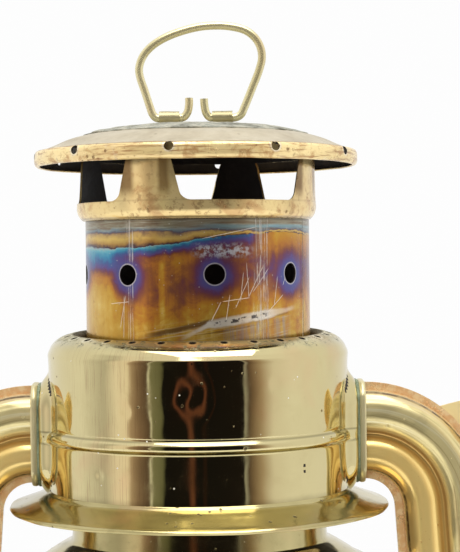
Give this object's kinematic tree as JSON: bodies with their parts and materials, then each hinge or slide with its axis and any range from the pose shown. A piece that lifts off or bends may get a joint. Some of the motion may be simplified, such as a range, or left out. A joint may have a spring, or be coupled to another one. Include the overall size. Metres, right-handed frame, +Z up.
{
  "type": "hurricane lantern",
  "caption": "Brass tubular hurricane lantern with vented hood, perforated crown, side air tubes, glass globe, round tank, wick winder and swinging bail.",
  "frame": {"origin": "centre of the tank's underside, on the surface that the lantern stands on", "axes": "+Z up along the lantern's axis; -Y is the front; +X runs through the right-hand side tube"},
  "size_m": [0.2076, 0.1632, 0.3688],
  "materials": {
    "polished_brass": "polished, lightly pitted",
    "aged_brass": "warm patina",
    "dull_disc": "dull grey beige bloom",
    "heat_tint": "heat tinted blue, purple and amber",
    "satin_wire": "pale satin wire",
    "steel_wire": "drawn wire",
    "clear_glass": "clear blown glass",
    "wick_cotton": "flat woven cotton",
    "gasket_rubber": "matte"
  },
  "bodies": {
    "lantern_frame": {"crown_shell": "polished_brass", "crown_body": "polished_brass", "crown_floor": "aged_brass", "skirt": "polished_brass", "tube_socket_left": "polished_brass", "tube_socket_right": "polished_brass", "joint_band_left": "aged_brass", "joint_band_right": "aged_brass", "tube_front_left": "polished_brass", "tube_front_right": "polished_brass", "tube_rear_left": "polished_brass", "tube_rear_right": "polished_brass", "bail_ear_left": "polished_brass", "bail_ear_right": "polished_brass", "tank_top": "polished_brass", "tank_bottom": "polished_brass", "filler_neck": "polished_brass", "air_chamber": "polished_brass", "burner_collar": "aged_brass", "burner_base": "aged_brass", "burner_plate": "aged_brass", "burner_cone": "aged_brass", "wick_tube": "polished_brass", "lever_stud": "polished_brass", "hood_spring": "steel_wire"},
    "hood": {"canopy": "aged_brass", "canopy_cap": "dull_disc", "canopy_rivet": "aged_brass", "vent_tent": "aged_brass", "chimney_collar": "heat_tint", "bell": "polished_brass", "ring_clip_left": "aged_brass", "ring_clip_right": "aged_brass"},
    "lifting_ring": {"lifting_ring": "satin_wire"},
    "bail": {"bail": "satin_wire"},
    "lift_lever": {"lift_lever": "steel_wire"},
    "globe_carriage": {"globe_plate": "aged_brass", "globe_seat": "aged_brass", "globe": "clear_glass", "guard_hoops": "steel_wire", "guard_uprights": "steel_wire"},
    "wick_winder": {"wick_shaft": "polished_brass", "wick_sprockets": "polished_brass", "wick_knob": "polished_brass"},
    "wick": {"wick": "wick_cotton"},
    "filler_gasket": {"filler_gasket": "gasket_rubber"},
    "filler_cap": {"filler_cap": "polished_brass"}
  },
  "joints": [
    {"name": "globe_lift", "type": "hinge", "parent": "lantern_frame", "child": "lift_lever", "pos_m": [0.076, -0.013, 0.091], "axis": [0, 1, 0], "range_deg": [0, 34.1]},
    {"name": "carriage_rise", "type": "slide", "parent": "lantern_frame", "child": "globe_carriage", "axis": [0, 0, 1], "range_m": [0, 0.0142]},
    {"name": "hood_rise", "type": "slide", "parent": "lantern_frame", "child": "hood", "axis": [0, 0, 1], "range_m": [0, 0.014], "deforming": ["hood_spring"]},
    {"name": "ring_swing", "type": "hinge", "parent": "hood", "child": "lifting_ring", "pos_m": [0, 0, 0.3368], "axis": [1, 0, 0], "range_deg": [-88, 88]},
    {"name": "bail_swing", "type": "hinge", "parent": "lantern_frame", "child": "bail", "pos_m": [0, 0, 0.236], "axis": [1, 0, 0], "range_deg": [0, 316]},
    {"name": "wick_turn", "type": "hinge", "parent": "lantern_frame", "child": "wick_winder", "pos_m": [0.00625, -0.005, 0.0805], "axis": [0, 1, 0], "range_deg": [-45, 60]},
    {"name": "wick_rise", "type": "slide", "parent": "lantern_frame", "child": "wick", "axis": [0, 0, 1], "range_m": [-0.0039, 0.0052]},
    {"name": "cap_turn", "type": "hinge", "parent": "filler_gasket", "child": "filler_cap", "pos_m": [-0.0474, -0.0474, 0.066], "axis": [0, 0, 1], "range_deg": [0, 720.5]},
    {"name": "cap_rise", "type": "slide", "parent": "lantern_frame", "child": "filler_gasket", "axis": [0, 0, 1], "range_m": [0, 0.004]}
  ],
  "couplings": [
    {"joint": "globe_lift", "follows": "hood_rise", "rad_per_m": 42.387},
    {"joint": "carriage_rise", "follows": "hood_rise", "ratio": 1},
    {"joint": "wick_turn", "follows": "wick_rise", "rad_per_m": 200},
    {"joint": "cap_turn", "follows": "cap_rise", "rad_per_m": 3141.5}
  ]
}
